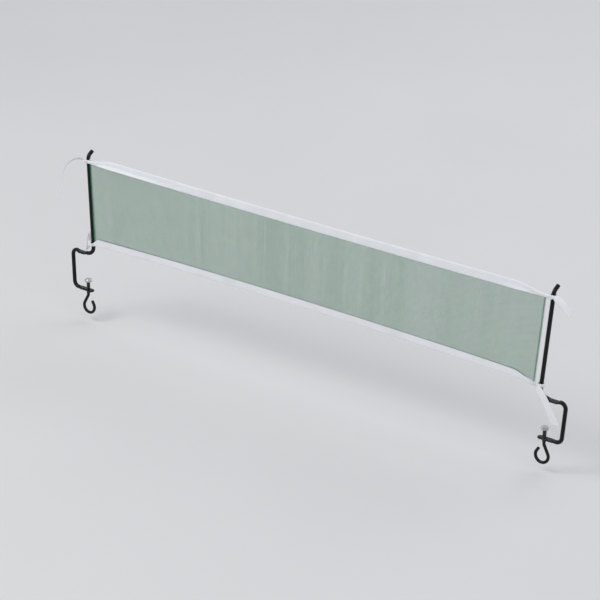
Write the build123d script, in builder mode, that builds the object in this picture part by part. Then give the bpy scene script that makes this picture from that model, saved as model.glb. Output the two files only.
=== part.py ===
from build123d import *
import math
import os

# Clamp-on table tennis net set: two bent-rod clamps, their thumb screws, and the
# taped net tied between them.  Millimetres.
# +X runs along the net to the right-hand clamp, +Y points away from the near side,
# +Z is up.  The origin is on the table top, midway between the two posts.

# ---- driving dimensions: clamp rod ----
post_span = 725.0           # between the post axes, at the table top
post_lean = 4.0             # degrees, each post leans outwards
post_corner_z = 145.5       # where the post's axis turns into the bent tip
rod_d = 5.5
tip_angle = 60.0            # degrees, the tip bends towards +Y
tip_length = 10.0           # from the corner of the axis to the rod's end
tip_bend_r = 7.0
foot_bend_r = 11.0
back_offset = 38.5          # post axis to back axis, at the table top
back_lean = 3.5             # degrees, the back leans in under the table
top_bend_r = 7.5
low_bend_r = 8.0
jaw_drop = 52.0             # table top to the middle of the lower arm
pressed_t = 3.0             # thickness of the pressed arms
press_run = 4.0             # length over which round turns into pressed
edge_share = 0.48           # pressed edge radius, as a share of the thickness
straight_stub = 0.4         # straight rod left between a bend and a pressed arm
arm_end_offset = 1.1        # post axis to the lower arm's free end

# ---- driving dimensions: thumb screw and pad ----
screw_offset = 10.6         # post axis to screw axis
screw_d = 5.0
thread_gap = 0.05           # radial clearance in the tapped eye
loop_wire_d = 4.2
table_t = 36.0              # the table edge that the clamp grips at rest
pad_d = 10.0
pad_t = 4.0
pad_roof_t = 1.1
pad_lip_t = 1.0
swivel_head_d = 4.4
swivel_neck_d = 3.4
swivel_gap = 0.05           # radial clearance of the swivel head and neck
axial_gap = 0.1
thread_below_arm = 5.5      # middle of the lower arm to the end of the thread
neck_below_arm = 8.0        # and to the corner of the neck's axis
neck_bend_r = 6.0
bow_r = 9.3                 # centreline radius of the teardrop's bow
bow_shift = -1.8            # bow centre from the screw axis, outwards
bow_below_arm = 24.3
loop_end_shift = -6.7       # free end of the wire from the screw axis, outwards
loop_end_below_arm = 14.5

# ---- driving dimensions: net, tape and ties ----
top_tie_below = 6.0         # tip corner down to the top tie
bottom_tie_z = 19.0
net_back_gap = 0.45         # rod surface to the band's far face
top_band_w = 11.5
bottom_band_w = 10.0
band_t = 1.2
mesh_t = 0.8
top_edge_rise = 8.5         # top tie up to the band's upper edge at its ends
top_sag = 2.0
bottom_edge_rise = 0.5      # bottom tie up to the band's lower edge at its ends
bottom_bow = 4.5
taper_run = 16.0            # length over which a band narrows to its knot
taper_w = 4.0
right_side_gap = 7.5        # post axis to the net's right-hand edge, inwards
left_side_gap = 4.5         # post axis to the net's left-hand edge, inwards
hem_w = 3.0
tape_w = 10.0
tape_t = 0.8
wrap_t = 1.8
wrap_h = 5.0
knot_w = 9.0
knot_h = 5.4
knot_depth = 4.8
knot_round = 1.8
cloth_gap = 0.1
thread_t = 0.4
seam_inset = 2.0

# ---- free tails: middle line of each, from its tie's centre, (outwards, up) ----
right_top_run = [(7.75, -1.0), (16.5, -4.0), (29.5, -14.9)]
right_bottom_run = [(-1.8, 3.5), (12.0, -15.5), (28.5, -44.0)]
left_top_run = [(5.55, 2.0), (23.0, -3.5), (39.0, -14.0), (47.5, -30.0), (55.5, -69.0)]
left_bottom_run = [(5.37, 1.0), (6.77, 13.0), (12.77, 14.4), (15.57, -1.0), (17.17, -14.0)]
curl_w = 8.0                # width of the curled left bottom tail
curl_back_y = 10.0          # and its far edge

# ---- worked out ----
rod_r = rod_d / 2
half_span = post_span / 2
lean = math.radians(post_lean)
flat_r = pressed_t * edge_share
pressed_w = (math.pi * rod_r**2 - math.pi * flat_r**2) / pressed_t + 2 * flat_r
foot_run = foot_bend_r * math.tan(math.radians((90 + post_lean) / 2)) + rod_r * math.tan(lean)
top_run = top_bend_r * math.tan(math.radians((90 + back_lean) / 2))
low_run = low_bend_r * math.tan(math.radians((90 - back_lean) / 2))
low_corner_offset = back_offset - (rod_r + jaw_drop) * math.tan(math.radians(back_lean))
upper_start = foot_run + straight_stub
upper_end = back_offset - top_run - straight_stub
lower_start = low_corner_offset - low_run - straight_stub
top_tie_z = post_corner_z - top_tie_below
top_edge_z = top_tie_z + top_edge_rise
top_seam_z = top_edge_z - top_band_w
bottom_edge_z = bottom_tie_z + bottom_edge_rise
bottom_seam_z = bottom_edge_z + bottom_band_w
band_back_y = -(rod_r + net_back_gap)
band_front_y = band_back_y - band_t
mesh_back_y = band_back_y - (band_t - mesh_t) / 2
knot_back_y = -(rod_r + cloth_gap + wrap_t / 2)
knot_front_y = knot_back_y - knot_depth
knot_clear = knot_w / 2 + 3 * cloth_gap
thread_end_z = -(jaw_drop + thread_below_arm)
neck_z = -(jaw_drop + neck_below_arm)
bow_z = -(jaw_drop + bow_below_arm)
loop_end_z = -(jaw_drop + loop_end_below_arm)
parts = {}


def post_offset(z):
    """Distance of a post's axis from the middle of the net, at height z."""
    return half_span + z * math.tan(lean)


def post_plane(side, z):
    """A plane square to the post's axis, centred on the axis at height z."""
    outwards = (side * math.cos(lean), 0, -math.sin(lean))
    along = (side * math.sin(lean), 0, math.cos(lean))
    return Plane(origin=(side * post_offset(z), 0, z), x_dir=outwards, z_dir=along)


def keep(name, builder):
    """Label a finished piece and remember it for export."""
    builder.part.label = name
    parts[name] = builder.part


def add_rod(route, radii):
    """Sweep the round rod along straight runs joined by bends, inside a BuildPart."""
    with BuildLine() as centre:
        FilletPolyline(*route, radius=radii)
    path = centre.wire()
    with BuildSketch(Plane(origin=path @ 0, z_dir=path % 0)) as section:
        Circle(rod_r)
    sweep(section.sketch, path=path)


def add_press(side, round_offset, flat_offset, round_z, flat_z):
    """Loft from the round rod to the pressed section, inside a BuildPart."""
    round_centre = (side * (half_span + round_offset), 0, round_z)
    flat_centre = (side * (half_span + flat_offset), 0, flat_z)
    round_plane = Plane(round_centre, x_dir=(0, side, 0), z_dir=(side, 0, 0))
    flat_plane = Plane(flat_centre, x_dir=(0, side, 0), z_dir=(side, 0, 0))
    with BuildSketch(round_plane) as round_end:
        Circle(rod_r)
    with BuildSketch(flat_plane) as flat_end:
        RectangleRounded(pressed_w, pressed_t, flat_r)
    loft([round_end.sketch, flat_end.sketch])


# ---- clamp rods: post, bent tip, pressed upper arm, back, pressed lower arm ----
for side, hand in ((1, "right"), (-1, "left")):
    tip_corner = Vector(side * post_offset(post_corner_z), 0, post_corner_z)
    post_axis = Vector(side * math.sin(lean), 0, math.cos(lean))
    tip_turn = math.radians(tip_angle)
    tip_axis = post_axis * math.cos(tip_turn) + Vector(0, math.sin(tip_turn), 0)
    tip_end = tip_corner + tip_axis * tip_length
    foot_corner = Vector(side * post_offset(rod_r), 0, rod_r)
    upper_in = Vector(side * (half_span + upper_start), 0, rod_r)
    upper_out = Vector(side * (half_span + upper_end), 0, rod_r)
    top_corner = Vector(side * (half_span + back_offset), 0, rod_r)
    low_corner = Vector(side * (half_span + low_corner_offset), 0, -jaw_drop)
    lower_out = Vector(side * (half_span + lower_start), 0, -jaw_drop)
    eye_length = lower_start - press_run - arm_end_offset

    with BuildPart() as clamp_rod:
        add_rod([tip_end, tip_corner, foot_corner, upper_in], [tip_bend_r, foot_bend_r])
        add_press(side, upper_start, upper_start + press_run, rod_r, pressed_t / 2)
        with BuildSketch(Plane.YZ.offset(side * (half_span + upper_start + press_run))):
            with Locations((0, pressed_t / 2)):
                RectangleRounded(pressed_w, pressed_t, flat_r)
        extrude(amount=side * (upper_end - upper_start - 2 * press_run))
        add_press(side, upper_end, upper_end - press_run, rod_r, pressed_t / 2)
        add_rod([upper_out, top_corner, low_corner, lower_out], [top_bend_r, low_bend_r])
        add_press(side, lower_start, lower_start - press_run, -jaw_drop, -jaw_drop)
        with BuildSketch(Plane.YZ.offset(side * (half_span + arm_end_offset + pressed_w / 2))):
            with Locations((0, -jaw_drop)):
                RectangleRounded(pressed_w, pressed_t, flat_r)
        extrude(amount=side * (eye_length - pressed_w / 2))
        end_axis = Axis((side * (half_span + arm_end_offset + pressed_w / 2), 0, 0), (0, 0, 1))
        with BuildSketch(Plane(end_axis.position, x_dir=(0, side, 0), z_dir=(side, 0, 0))):
            with Locations((0, -jaw_drop)):
                RectangleRounded(pressed_w, pressed_t, flat_r)
            with Locations((pressed_w, -jaw_drop)):
                Rectangle(2 * pressed_w, 2 * pressed_t, mode=Mode.SUBTRACT)
        revolve(axis=end_axis)
        with BuildSketch(Plane.XY.offset(-jaw_drop - pressed_t)):
            with Locations((side * (half_span + screw_offset), 0)):
                Circle(screw_d / 2 + thread_gap)
        extrude(amount=2 * pressed_t, mode=Mode.SUBTRACT)
    keep(f"{hand}_clamp_rod", clamp_rod)

# ---- thumb screws: threaded shank, swivel head, teardrop wire loop ----
pad_top_z = -table_t
pad_under_z = pad_top_z - pad_t
lip_top_z = pad_under_z + pad_lip_t
roof_z = pad_top_z - pad_roof_t
for side, hand in ((1, "right"), (-1, "left")):
    screw_x = side * (half_span + screw_offset)
    bow_centre = Vector(screw_x + side * bow_shift, 0, bow_z)
    neck_corner = Vector(screw_x, 0, neck_z)
    loop_end = Vector(screw_x + side * loop_end_shift, 0, loop_end_z)
    tangents = []
    for point, turn in ((neck_corner, 1), (loop_end, -1)):
        gap = bow_centre - point
        half_angle = math.asin(bow_r / gap.length)
        reach = math.sqrt(gap.length**2 - bow_r**2)
        heading = math.atan2(gap.Z, side * gap.X) + turn * half_angle
        tangents.append(point + Vector(side * math.cos(heading), 0, math.sin(heading)) * reach)
    bow_bottom = bow_centre - Vector(0, 0, bow_r)

    with BuildPart() as thumb_screw:
        with BuildSketch(Plane.XZ):
            with BuildLine():
                Polyline(
                    (screw_x, thread_end_z),
                    (screw_x + side * screw_d / 2, thread_end_z),
                    (screw_x + side * screw_d / 2, pad_under_z - axial_gap),
                    (screw_x + side * swivel_neck_d / 2, pad_under_z - axial_gap),
                    (screw_x + side * swivel_neck_d / 2, lip_top_z + axial_gap),
                    (screw_x + side * swivel_head_d / 2, lip_top_z + axial_gap),
                    (screw_x + side * swivel_head_d / 2, roof_z - axial_gap),
                    (screw_x, roof_z - axial_gap),
                    close=True,
                )
            make_face()
        revolve(axis=Axis((screw_x, 0, 0), (0, 0, 1)))
        shank_start = Vector(screw_x, 0, thread_end_z + loop_wire_d / 4)
        with BuildLine() as wire_path:
            FilletPolyline(shank_start, neck_corner, tangents[0], radius=neck_bend_r)
            ThreePointArc(tangents[0], bow_bottom, tangents[1])
            Line(tangents[1], loop_end)
        with BuildSketch(Plane(origin=shank_start, z_dir=(0, 0, -1))):
            Circle(loop_wire_d / 2)
        sweep(path=wire_path.wire())
    keep(f"{hand}_thumb_screw", thumb_screw)

    with BuildPart() as screw_pad:
        with BuildSketch(Plane.XZ):
            with BuildLine():
                Polyline(
                    (screw_x, roof_z),
                    (screw_x + side * (swivel_head_d / 2 + swivel_gap), roof_z),
                    (screw_x + side * (swivel_head_d / 2 + swivel_gap), lip_top_z),
                    (screw_x + side * (swivel_neck_d / 2 + swivel_gap), lip_top_z),
                    (screw_x + side * (swivel_neck_d / 2 + swivel_gap), pad_under_z),
                    (screw_x + side * pad_d / 2, pad_under_z),
                    (screw_x + side * pad_d / 2, pad_top_z),
                    (screw_x, pad_top_z),
                    close=True,
                )
            make_face()
        revolve(axis=Axis((screw_x, 0, 0), (0, 0, 1)))
        chamfer(screw_pad.edges().filter_by(GeomType.CIRCLE).sort_by(SortBy.RADIUS)[-2:], length=0.6)
    keep(f"{hand}_screw_pad", screw_pad)

# ---- net: top and bottom bands, mesh, side hems ----
def band_outline(end_z, middle_z, tip_z, tip_half):
    """One long edge of a band, from the left knot to the right one, inside a BuildLine."""
    left_tip = (-(post_offset(tip_z) - knot_clear), tip_z + tip_half)
    right_tip = (post_offset(tip_z) - knot_clear, tip_z + tip_half)
    left_end = (-(half_span - taper_run), end_z)
    right_end = (half_span - taper_run, end_z)
    Line(left_tip, left_end)
    ThreePointArc(left_end, (0, middle_z), right_end)
    Line(right_end, right_tip)
    return left_tip, right_tip


for name, low_end, low_middle, width, tie_z in (
    ("top_band", top_seam_z, top_seam_z - top_sag, top_band_w, top_tie_z),
    ("bottom_band", bottom_edge_z, bottom_edge_z + bottom_bow, bottom_band_w, bottom_tie_z),
):
    with BuildPart() as band:
        with BuildSketch(Plane.XZ.offset(-band_back_y)):
            with BuildLine():
                low_left, low_right = band_outline(low_end, low_middle, tie_z, -taper_w / 2)
                high_left, high_right = band_outline(low_end + width, low_middle + width, tie_z, taper_w / 2)
                Line(low_left, high_left)
                Line(low_right, high_right)
            make_face()
        extrude(amount=band_t)
    keep(name, band)

mesh_top_z = top_seam_z - cloth_gap
mesh_low_z = bottom_seam_z + cloth_gap
right_top = (post_offset(mesh_top_z) - right_side_gap, mesh_top_z)
right_low = (post_offset(mesh_low_z) - right_side_gap, mesh_low_z)
left_top = (-(post_offset(mesh_top_z) - left_side_gap), mesh_top_z)
left_low = (-(post_offset(mesh_low_z) - left_side_gap), mesh_low_z)
inset = hem_w + cloth_gap

with BuildPart() as net_mesh:
    with BuildSketch(Plane.XZ.offset(-mesh_back_y)):
        with BuildLine():
            top_left = (-(half_span - taper_run), mesh_top_z)
            top_right = (half_span - taper_run, mesh_top_z)
            low_left = (-(half_span - taper_run), mesh_low_z)
            low_right = (half_span - taper_run, mesh_low_z)
            ThreePointArc(top_left, (0, mesh_top_z - top_sag), top_right)
            ThreePointArc(low_left, (0, mesh_low_z + bottom_bow), low_right)
            for near_top, edge_top, edge_low, near_low, inwards in (
                (top_right, right_top, right_low, low_right, -1),
                (top_left, left_top, left_low, low_left, 1),
            ):
                corner_top = (edge_top[0] + inwards * inset, edge_top[1])
                corner_low = (edge_low[0] + inwards * inset, edge_low[1])
                Polyline(near_top, corner_top, corner_low, near_low)
        make_face()
    extrude(amount=mesh_t)
keep("net_mesh", net_mesh)

for hand, top_point, low_point, inwards in (
    ("right", right_top, right_low, -1),
    ("left", left_top, left_low, 1),
):
    with BuildPart() as net_hem:
        with BuildSketch(Plane.XZ.offset(-band_back_y)):
            with BuildLine():
                Polyline(
                    top_point,
                    low_point,
                    (low_point[0] + inwards * hem_w, low_point[1]),
                    (top_point[0] + inwards * hem_w, top_point[1]),
                    close=True,
                )
            make_face()
        extrude(amount=band_t)
    keep(f"{hand}_net_hem", net_hem)

for name, end_z, middle_z in (
    ("top_band_stitching", top_seam_z + seam_inset, top_seam_z + seam_inset - top_sag),
    ("bottom_band_stitching", bottom_seam_z - seam_inset, bottom_seam_z - seam_inset + bottom_bow),
):
    with BuildPart() as stitching:
        for face_y in (band_front_y - cloth_gap, band_back_y + cloth_gap + thread_t):
            with BuildSketch(Plane.XZ.offset(-face_y)):
                with BuildLine():
                    seam_left = (-(half_span - taper_run), end_z)
                    seam_right = (half_span - taper_run, end_z)
                    seam = ThreePointArc(seam_left, (0, middle_z), seam_right)
                trace(seam, line_width=thread_t)
            extrude(amount=thread_t)
    keep(name, stitching)

# ---- ties: a wrap round the post with a knot on its near side ----
for side, hand in ((1, "right"), (-1, "left")):
    for level, tie_z in (("top", top_tie_z), ("bottom", bottom_tie_z)):
        with BuildPart() as knot:
            with BuildSketch(post_plane(side, tie_z).offset(-wrap_h / 2)):
                Circle(rod_r + cloth_gap + wrap_t)
            extrude(amount=wrap_h)
            with BuildSketch(post_plane(side, tie_z).offset(-knot_h / 2)):
                with Locations((0, side * (knot_back_y + knot_front_y) / 2)):
                    RectangleRounded(knot_w, knot_depth, knot_round)
            extrude(amount=knot_h)
            with BuildSketch(post_plane(side, tie_z).offset(-knot_h)):
                Circle(rod_r + cloth_gap)
            extrude(amount=2 * knot_h, mode=Mode.SUBTRACT)
        keep(f"{hand}_{level}_knot", knot)

# ---- free tails of tape, past the knots ----
flat_on_y = (knot_back_y + knot_front_y + tape_t) / 2
in_front_y = knot_front_y - cloth_gap
for name, side, tie_z, run, radii, back_y, across, depth in (
    ("right_top_tail", 1, top_tie_z, right_top_run, 40.0, flat_on_y, tape_w, tape_t),
    ("right_bottom_tail", 1, bottom_tie_z, right_bottom_run, 200.0, in_front_y, tape_w, tape_t),
    ("left_top_tail", -1, top_tie_z, left_top_run, [24.0, 20.0, 26.0], tape_w / 2, tape_t, tape_w),
    ("left_bottom_tail", -1, bottom_tie_z, left_bottom_run, [3.0, 3.0, 20.0], curl_back_y, tape_t, curl_w),
):
    route = [(side * (post_offset(tie_z) + out), tie_z + up) for out, up in run]
    with BuildPart() as tail_tape:
        with BuildSketch(Plane.XZ.offset(-back_y)):
            with BuildLine():
                strip = FilletPolyline(*route, radius=radii)
            trace(strip, line_width=across)
        extrude(amount=depth)
    keep(name, tail_tape)

os.makedirs("parts", exist_ok=True)
for name, part in parts.items():
    export_step(part, f"parts/{name}.step")
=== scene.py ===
"""The looks of a clamp-on table tennis net set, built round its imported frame.

Two bent-rod clamps carry a net of fine green mesh.  White tape is folded over the net's two long
edges, gathered into knots round the posts, and left hanging past them as four free tails.
Sizes are in millimetres until a mesh is made, which turns them into metres.
"""
import logging
import math
from dataclasses import dataclass
from enum import Enum, StrEnum
from functools import partialmethod
from typing import Any, Callable, Sequence

import bmesh
import bpy
import numpy as np
from bpy.types import Material, Mesh, Node, NodeSocket, NodeTree, Object
from mathutils import Matrix, Vector


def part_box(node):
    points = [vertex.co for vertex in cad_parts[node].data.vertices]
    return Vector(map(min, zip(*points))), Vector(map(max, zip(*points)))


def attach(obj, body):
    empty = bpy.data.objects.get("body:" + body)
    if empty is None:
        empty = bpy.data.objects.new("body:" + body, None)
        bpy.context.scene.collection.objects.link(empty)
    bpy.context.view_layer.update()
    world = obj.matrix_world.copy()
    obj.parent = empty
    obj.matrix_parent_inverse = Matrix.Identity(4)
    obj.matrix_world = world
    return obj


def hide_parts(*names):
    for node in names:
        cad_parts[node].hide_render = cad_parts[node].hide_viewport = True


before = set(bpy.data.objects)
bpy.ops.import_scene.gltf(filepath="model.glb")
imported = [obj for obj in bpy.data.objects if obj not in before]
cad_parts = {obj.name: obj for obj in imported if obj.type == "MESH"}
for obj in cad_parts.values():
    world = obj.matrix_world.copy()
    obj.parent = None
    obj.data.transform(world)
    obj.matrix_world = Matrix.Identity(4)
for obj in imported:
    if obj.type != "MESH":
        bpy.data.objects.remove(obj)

LOG = logging.getLogger("net_set")
MM = 0.001
ROOT_BODY = "net_and_clamps"
Colour = tuple[float, float, float, float]
Faces = list[tuple[int, ...]]
Trees = dict[str, NodeTree]


class Side(Enum):
    """Which end of the net a clamp stands at: its sign along X."""

    RIGHT = 1
    LEFT = -1

    @property
    def word(self) -> str:
        """The side's word in the names of pieces and bodies."""
        return self.name.lower()


class Level(StrEnum):
    """Which long edge of the net a band, a knot or a tail belongs to."""

    TOP = "top"
    BOTTOM = "bottom"


class Slot(Enum):
    """The record's material slots."""

    ENAMEL = "black_enamel"
    STEEL = "plated_steel"
    NET = "net_green"
    TAPE = "tape_white"
    THREAD = "sewing_thread"


Finishes = dict[Slot, Material]


# ---- small sums ----
def ease(value: np.ndarray | float, low: float, high: float) -> np.ndarray | float:
    """Smooth step from 0 at low to 1 at high.

    Args:
        value: the number, or the array of numbers.
        low: where the step starts.
        high: where the step ends.

    Returns:
        The step's height, from 0 to 1.
    """
    t = np.clip((value - low) / (high - low), 0.0, 1.0)
    return t * t * (3.0 - 2.0 * t)


def blend(a: Any, b: Any, t: Any) -> Any:
    """The value that lies the share t of the way from a to b."""
    return a + (b - a) * t


def unit(vectors: np.ndarray) -> np.ndarray:
    """The same vectors at length 1."""
    return vectors / np.maximum(np.linalg.norm(vectors, axis=-1, keepdims=True), 1e-12)


def smooth_path(points: Sequence[Sequence[float]], count: int) -> np.ndarray:
    """A smooth line through a few points, evenly divided.

    Args:
        points: the points that the line passes through.
        count: how many points the finished line has.

    Returns:
        The line's points, one row each.
    """
    p = np.array(points, float)
    p = np.vstack([2 * p[0] - p[1], p, 2 * p[-1] - p[-2]])
    fine = []
    for a, b, c, d in zip(p, p[1:], p[2:], p[3:]):
        t = np.linspace(0, 1, 24, endpoint=False)[:, None]
        fine.append(0.5 * (2 * b + (c - a) * t + (2 * a - 5 * b + 4 * c - d) * t**2
                           + (3 * b - a - 3 * c + d) * t**3))
    line = np.vstack([*fine, p[-2:-1]])
    return evenly(line, count)


def evenly(line: np.ndarray, count: int) -> np.ndarray:
    """The same line with its points evenly spaced."""
    along = np.concatenate([[0], np.cumsum(np.linalg.norm(np.diff(line, axis=0), axis=1))])
    stops = np.linspace(0, along[-1], count)
    return np.stack([np.interp(stops, along, line[:, k]) for k in range(line.shape[1])], axis=1)


def line_length(line: np.ndarray) -> float:
    """The length of a line of points."""
    return float(np.linalg.norm(np.diff(line, axis=0), axis=1).sum())


# ---- meshes ----
def add_object(name: str, data: Any) -> Object:
    """Put a new object with the given data in the scene, at the origin."""
    made = bpy.data.objects.new(name, data)
    bpy.context.scene.collection.objects.link(made)
    return made


def add_piece(name: str, points: np.ndarray, faces: Faces, uvs: np.ndarray | None = None) -> Object:
    """Make a smooth-shaded piece from points in millimetres.

    Args:
        name: the piece's name.
        points: its points in the frame, in millimetres, one row each.
        faces: the point numbers of each face.
        uvs: a place on the cloth for each point, in metres, or None.

    Returns:
        The new object, at the origin.
    """
    mesh = bpy.data.meshes.new(name)
    mesh.from_pydata((np.asarray(points) * MM).tolist(), [], faces)
    mesh.polygons.foreach_set("use_smooth", [True] * len(mesh.polygons))
    if uvs is not None:
        layer = mesh.uv_layers.new(name="Cloth")
        corners = np.zeros(len(mesh.loops), np.int32)
        mesh.loops.foreach_get("vertex_index", corners)
        layer.data.foreach_set("uv", np.asarray(uvs)[corners].astype(np.float32).ravel())
    mesh.update()
    return add_object(name, mesh)


def line_mesh(name: str, lines: list[list[tuple[float, float, float]]]) -> Mesh:
    """A mesh of open lines, from points in millimetres.

    Args:
        name: the mesh's name.
        lines: the points of each line.

    Returns:
        The mesh, which no object uses yet.
    """
    points, edges = [], []
    for line in lines:
        edges += [(i, i + 1) for i in range(len(points), len(points) + len(line) - 1)]
        points += line
    mesh = bpy.data.meshes.new(name)
    mesh.from_pydata((np.array(points) * MM).tolist(), edges, [])
    return mesh


def grid_faces(rows: int, columns: int, round_columns: bool = False) -> Faces:
    """The quads of a grid of points, row after row.

    Args:
        rows: how many rows of points there are.
        columns: how many points are in a row.
        round_columns: whether the last column joins the first.

    Returns:
        The four point numbers of each quad.
    """
    quads = []
    for row in range(0, (rows - 1) * columns, columns):
        for j in range(columns if round_columns else columns - 1):
            a, b = row + j, row + (j + 1) % columns
            quads.append((a, b, b + columns, a + columns))
    return quads


def point_outwards(piece: Object) -> None:
    """Turn the faces of closed shells outwards.

    Args:
        piece: the piece that the shells make up.
    """
    shell = bmesh.new()
    shell.from_mesh(piece.data)
    bmesh.ops.recalc_face_normals(shell, faces=shell.faces)
    shell.to_mesh(piece.data)
    shell.free()


def thicken(piece: Object, thickness: float) -> None:
    """Give a sheet its thickness, equally to both sides.

    Args:
        piece: the sheet.
        thickness: how thick it is, in millimetres.
    """
    solid = piece.modifiers.new("Cloth thickness", "SOLIDIFY")
    solid.thickness = thickness * MM
    solid.offset = 0.0
    solid.use_even_offset = False
    solid.use_rim = True


def travelling_frame(line: np.ndarray, first_side: Sequence[float]) -> tuple[np.ndarray, np.ndarray]:
    """Two directions square to a line, carried along it without turning about it.

    Args:
        line: the points of the line.
        first_side: roughly the first of the two directions where the line starts.

    Returns:
        The two directions at each point.
    """
    tangent = unit(np.gradient(line, axis=0))
    side = np.zeros_like(line)
    carried = np.array(first_side, float)
    for i, t in enumerate(tangent):
        carried = carried - t * (carried @ t)
        carried = carried / np.linalg.norm(carried)
        side[i] = carried
    return side, np.cross(tangent, side)


def sweep(line: np.ndarray, first_side: Sequence[float], wide: np.ndarray, deep: np.ndarray, around: int,
          crease: Callable[[np.ndarray, np.ndarray], np.ndarray] | None = None) -> tuple[np.ndarray, Faces]:
    """The skin of a rod along a line, closed at both ends.

    Args:
        line: the points of the rod's middle.
        first_side: the direction of the section's width where the line starts.
        wide: half the section's width at each point.
        deep: half the section's depth at each point.
        around: how many points go round a section.
        crease: a factor on the section's size, from the angle round it and the share along it.

    Returns:
        The skin's points and its faces.
    """
    side, lift = travelling_frame(line, first_side)
    angle = np.linspace(0, math.tau, around, endpoint=False)
    share = np.linspace(0, 1, len(line))
    factor = np.ones((len(line), around))
    if crease is not None:
        factor = crease(angle[None, :], share[:, None])
    c = np.cos(angle)[None, :, None] * factor[..., None] * wide[:, None, None] * side[:, None, :]
    s = np.sin(angle)[None, :, None] * factor[..., None] * deep[:, None, None] * lift[:, None, :]
    skin = (line[:, None, :] + c + s).reshape(-1, 3)
    faces = grid_faces(len(line), around, round_columns=True)
    first, last, last_ring = len(skin), len(skin) + 1, (len(line) - 1) * around
    skin = np.vstack([skin, line[:1], line[-1:]])
    for j in range(around):
        after = (j + 1) % around
        faces += [(first, after, j), (last, last_ring + j, last_ring + after)]
    return skin, faces


def round_ends(count: int, spacing: float, depth: float) -> np.ndarray:
    """A factor on a rod's radius that closes both its ends as domes.

    Args:
        count: how many points the rod's line has.
        spacing: the distance between them.
        depth: how far a dome reaches along the rod.

    Returns:
        The factor at each point.
    """
    stops = np.arange(count) * spacing
    near = np.minimum(depth, np.minimum(stops, stops[::-1]))
    share = 1 - near / depth
    return np.sqrt(np.maximum(1 - share**2, 0.0))


# ---- node trees ----
class Formula:
    """Adds nodes to a tree and links them, so that a tree reads as a formula."""

    def __init__(self, tree: NodeTree) -> None:
        """Start writing into tree."""
        self.tree = tree

    def feed(self, socket: NodeSocket, value: Any) -> None:
        """Link a socket to another, or set its own value.

        Args:
            socket: the input to fill.
            value: an output to link it to, or a plain value.
        """
        if isinstance(value, NodeSocket):
            self.send(value, socket)
        else:
            socket.default_value = value

    def add(self, kind: str, settings: dict[str, Any] | None = None,
            inputs: dict[str | int, Any] | None = None) -> Node:
        """Add a node.

        Args:
            kind: the node's type name.
            settings: its properties.
            inputs: sockets or values for its inputs, by name or number.

        Returns:
            The new node.
        """
        node = self.tree.nodes.new(kind)
        for name, value in (settings or {}).items():
            setattr(node, name, value)
        for name, value in (inputs or {}).items():
            self.feed(node.inputs[name], value)
        return node

    def geo(self, kind: str, **inputs: Any) -> NodeSocket:
        """Add a Geometry Nodes node, with _ for each space in a name, and return its first output."""
        named = {name.replace("_", " "): value for name, value in inputs.items()}
        return self.add("GeometryNode" + kind, None, named).outputs[0]

    def math(self, operation: str, *values: Any) -> NodeSocket:
        """One step of arithmetic on sockets or numbers."""
        return self.add("ShaderNodeMath", {"operation": operation}, dict(enumerate(values))).outputs[0]

    plus = partialmethod(math, "ADD")
    minus = partialmethod(math, "SUBTRACT")
    times = partialmethod(math, "MULTIPLY")
    over = partialmethod(math, "DIVIDE")
    scaled = partialmethod(math, "MULTIPLY_ADD")

    def lift(self, operation: str, *values: Any) -> NodeSocket:
        """One step of vector arithmetic."""
        node = self.add("ShaderNodeVectorMath", {"operation": operation}, dict(enumerate(values)))
        return node.outputs[0]

    def ramp(self, value: Any, low: float, high: float) -> NodeSocket:
        """A smooth step from 0 to 1 as a value goes from low to high."""
        return self.add("ShaderNodeMapRange", {"interpolation_type": "SMOOTHSTEP"},
                        {0: value, 1: low, 2: high}).outputs[0]

    def mix(self, share: Any, a: Any, b: Any) -> NodeSocket:
        """A colour that lies between a and b."""
        node = self.add("ShaderNodeMix", {"data_type": "RGBA"}, {0: share, 6: a, 7: b})
        return node.outputs[2]

    def between(self, share: Any, a: Any, b: Any) -> NodeSocket:
        """A point that lies between a and b."""
        node = self.add("ShaderNodeMix", {"data_type": "VECTOR"}, {0: share, 4: a, 5: b})
        return node.outputs[1]

    def split(self, vector: Any) -> tuple[NodeSocket, ...]:
        """A vector's three parts."""
        return tuple(self.add("ShaderNodeSeparateXYZ", None, {0: vector}).outputs)

    def join(self, x: Any, y: Any, z: Any) -> NodeSocket:
        """A vector from its three parts."""
        return self.add("ShaderNodeCombineXYZ", None, {0: x, 1: y, 2: z}).outputs[0]

    def noise(self, vector: Any, scale: Any, detail: float = 3.0, **more: float) -> NodeSocket:
        """A soft random value that changes over the surface."""
        inputs = {"Vector": vector, "Scale": scale, "Detail": detail, **more}
        return self.add("ShaderNodeTexNoise", None, inputs).outputs[0]

    def send(self, value: NodeSocket, socket: NodeSocket) -> None:
        """Link a value to one of the tree's outputs, or to an input that takes many links."""
        self.tree.links.new(value, socket)

    def dress(self, geometry: NodeSocket, material: NodeSocket, end: Node) -> NodeTree:
        """Realize and smooth a Geometry Nodes tree's result, give it its material and hand it out.

        Args:
            geometry: the result.
            material: the material.
            end: the tree's output node.

        Returns:
            The finished tree.
        """
        smooth = self.geo("SetShadeSmooth", Geometry=self.geo("RealizeInstances", Geometry=geometry))
        self.send(self.geo("SetMaterial", Geometry=smooth, Material=material), end.inputs[0])
        return self.tree


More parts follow.
